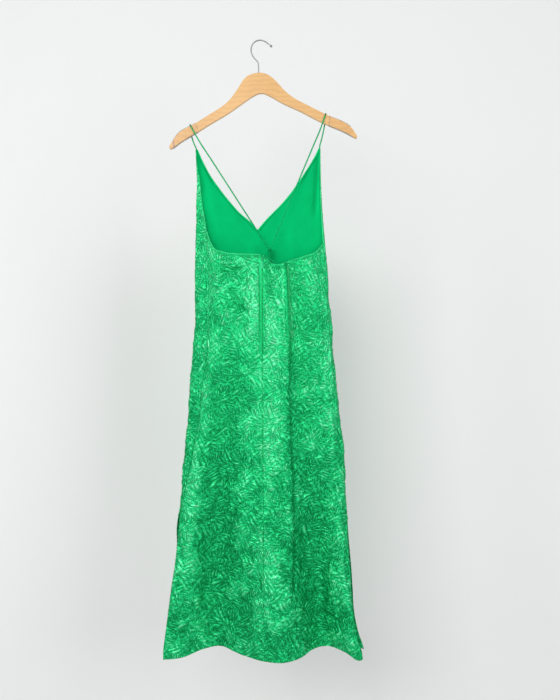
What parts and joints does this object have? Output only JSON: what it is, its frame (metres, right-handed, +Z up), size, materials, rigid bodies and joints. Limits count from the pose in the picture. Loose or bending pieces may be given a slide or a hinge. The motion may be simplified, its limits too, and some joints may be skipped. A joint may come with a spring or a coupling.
{
  "type": "slip dress hung on a wooden hanger",
  "caption": "Long slip dress in green crushed satin with a V neck, low crossed-strap back, centre back zip and side slits, hung by its straps on a wooden hanger with a wire hook.",
  "frame": {"origin": "where the hanger's hook rests on its rail or nail: the underside of the top of the hook's wire, in the hanger's middle plane", "axes": "+Z up, +X to the right as seen from the back of the dress, +Y from the back of the dress to its front"},
  "size_m": [0.4796, 0.0932, 1.4729],
  "materials": {
    "satin": "crushed satin, soft sheen",
    "lining": "plain matt weave",
    "cord": "satin rouleau cord",
    "zip_tape": "woven tape with a moulded coil",
    "green_enamel": "semi-gloss enamel",
    "wood": "light beech, satin lacquer",
    "steel": "plated wire",
    "clear_plastic": "clear soft sleeve"
  },
  "bodies": {
    "dress": {"front_panel": "satin", "front_lining": "lining", "back_left": "satin", "back_right": "satin", "strap_left": "cord", "strap_right": "cord", "strap_tie": "cord", "strap_knot": "cord", "zip_tape_left": "zip_tape", "zip_tape_right": "zip_tape", "zip_slider": "green_enamel", "hanger_arms": "wood", "hanger_hook": "steel", "sleeve_left": "clear_plastic", "sleeve_right": "clear_plastic"},
    "zip_pull": {"zip_pull": "green_enamel"}
  },
  "joints": [
    {"name": "zip_pull_hinge", "type": "hinge", "parent": "dress", "child": "zip_pull", "pos_m": [0.00303, -0.02279, -0.521], "axis": [-1, 0, 0], "range_deg": [0, 170]}
  ]
}
